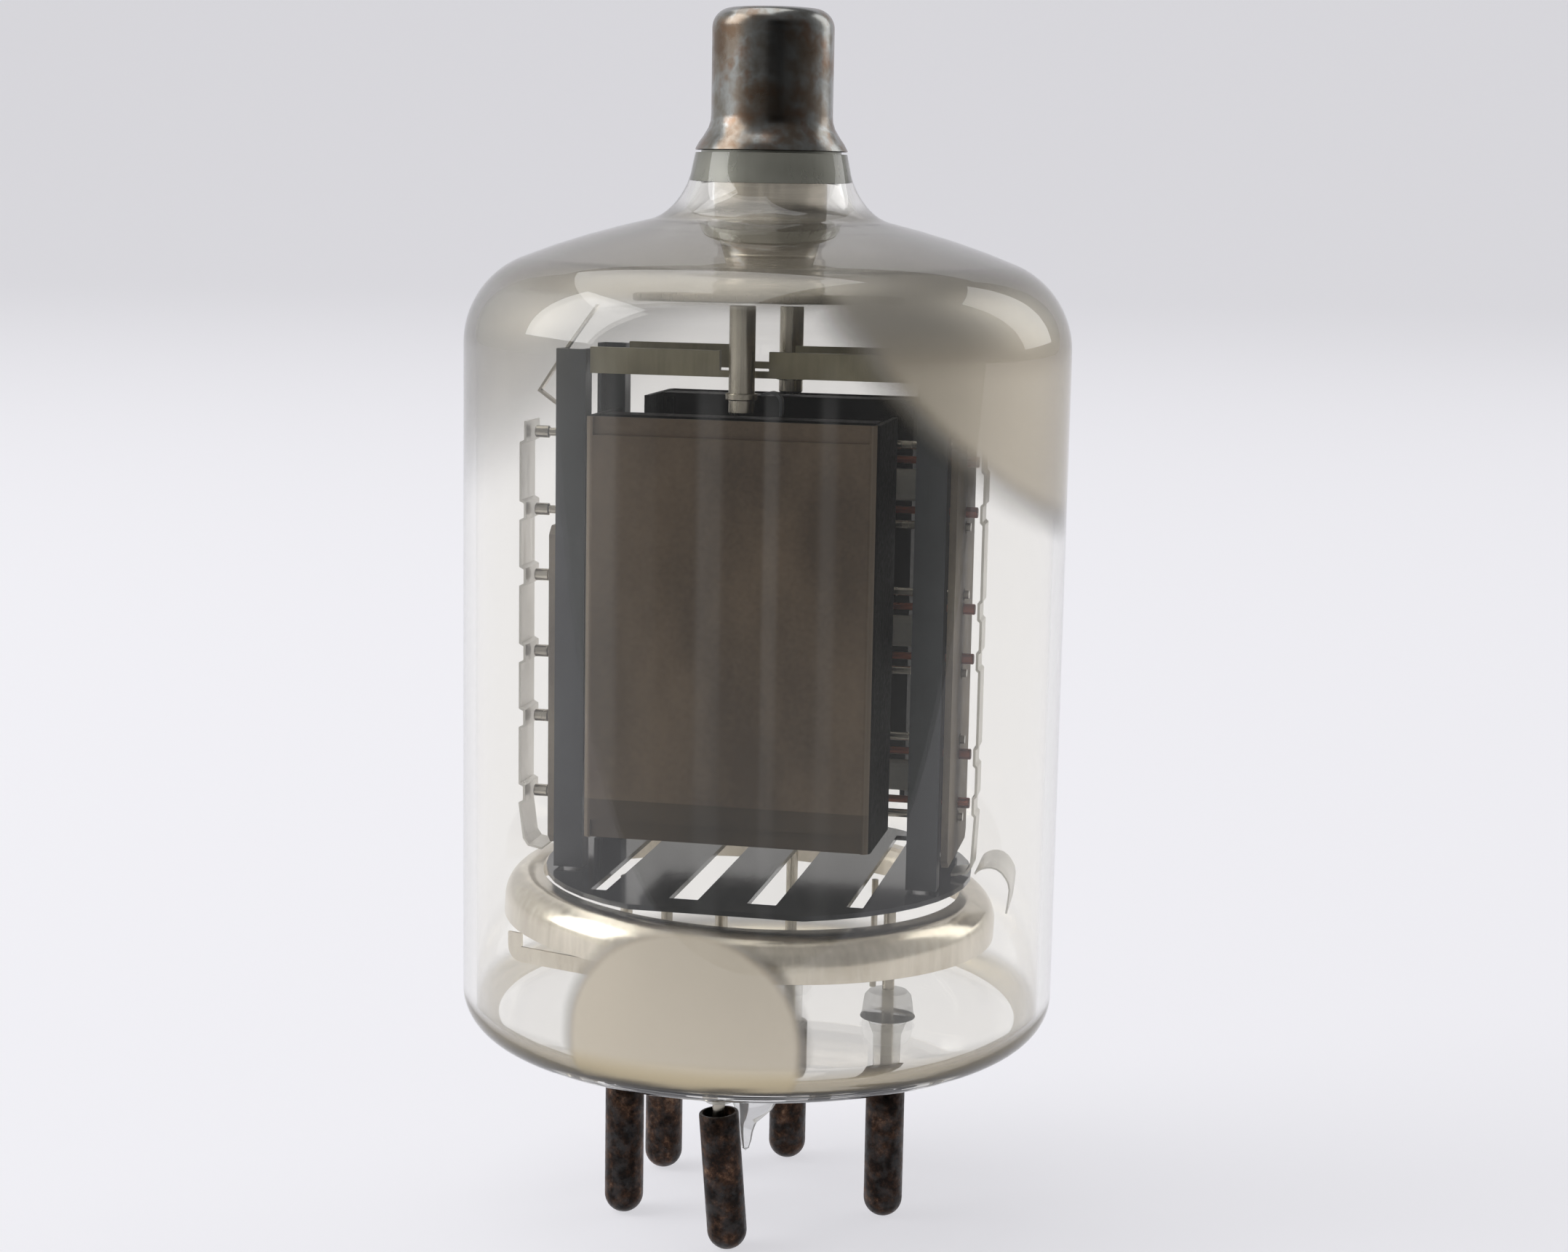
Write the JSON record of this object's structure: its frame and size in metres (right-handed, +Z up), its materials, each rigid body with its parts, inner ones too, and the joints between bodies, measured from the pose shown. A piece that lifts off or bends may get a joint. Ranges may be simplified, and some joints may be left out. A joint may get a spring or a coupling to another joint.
{
  "type": "vacuum tube",
  "caption": "Upright all-glass power vacuum tube on hollow base pins, with a metal anode cap, a two-part sheet anode, stacked grids and a getter inside its bulb.",
  "frame": {"origin": "on the bulb's axis, at the level of the base pins' tips that the tube stands on", "axes": "+Z up along the bulb's axis from the pins to the anode cap; -Y towards the leaning front pin and the front anode half; +X to the right as seen from the front"},
  "size_m": [0.0724, 0.0724, 0.1464],
  "materials": {
    "clear_glass": "clear, drawn smooth",
    "corroded_pin_brass": "dark, corroded plating",
    "tarnished_nickel": "tarnished, satin",
    "bright_nickel": "bright, polished by rolling",
    "carbonised_nickel": "matte carbonised coating",
    "blackened_steel": "blackened, satin",
    "dull_nickel": "dull satin",
    "sprayed_mica": "matte sprayed coating",
    "grid_copper": "drawn copper",
    "cathode_oxide": "matte white coating",
    "coated_tungsten": "matte coating on a fine wire"
  },
  "bodies": {
    "root": {"glass_bulb": "clear_glass", "glass_stem": "clear_glass", "contact_pin_front": "corroded_pin_brass", "contact_pin_left_front": "corroded_pin_brass", "contact_pin_left_rear": "corroded_pin_brass", "contact_pin_rear": "corroded_pin_brass", "contact_pin_right": "corroded_pin_brass", "anode_cap": "tarnished_nickel", "anode_stub": "bright_nickel", "anode_disc": "bright_nickel", "anode_rod_front": "bright_nickel", "anode_rod_rear": "bright_nickel", "lead_rod_front": "bright_nickel", "lead_rod_left_front": "bright_nickel", "lead_rod_left_rear": "bright_nickel", "lead_rod_rear": "bright_nickel", "lead_rod_right": "bright_nickel", "base_ring": "bright_nickel", "screen_grid_1": "bright_nickel", "screen_grid_2": "bright_nickel", "screen_grid_3": "bright_nickel", "screen_grid_strap": "bright_nickel", "control_grid_strap": "bright_nickel", "bulb_spacer": "bright_nickel", "getter_strip_left": "bright_nickel", "getter_strip_right": "bright_nickel", "getter_cup": "bright_nickel", "getter_bracket": "bright_nickel", "anode_front": "carbonised_nickel", "anode_rear": "carbonised_nickel", "anode_hanger_front": "carbonised_nickel", "anode_hanger_rear": "carbonised_nickel", "anode_clip_front": "blackened_steel", "cage_post_front_left": "blackened_steel", "cage_post_front_right": "blackened_steel", "cage_post_rear_left": "blackened_steel", "cage_post_rear_right": "blackened_steel", "base_plate": "blackened_steel", "getter_lead": "blackened_steel", "cathode_clip_1": "blackened_steel", "cathode_clip_2": "blackened_steel", "cathode_clip_3": "blackened_steel", "top_bar_front": "dull_nickel", "top_bar_rear": "dull_nickel", "side_plate_left": "sprayed_mica", "side_plate_right": "sprayed_mica", "control_grid_1": "grid_copper", "control_grid_2": "grid_copper", "control_grid_3": "grid_copper", "cathode_1": "cathode_oxide", "cathode_2": "cathode_oxide", "cathode_3": "cathode_oxide", "heater_1": "coated_tungsten", "heater_2": "coated_tungsten", "heater_3": "coated_tungsten"}
  },
  "joints": []
}
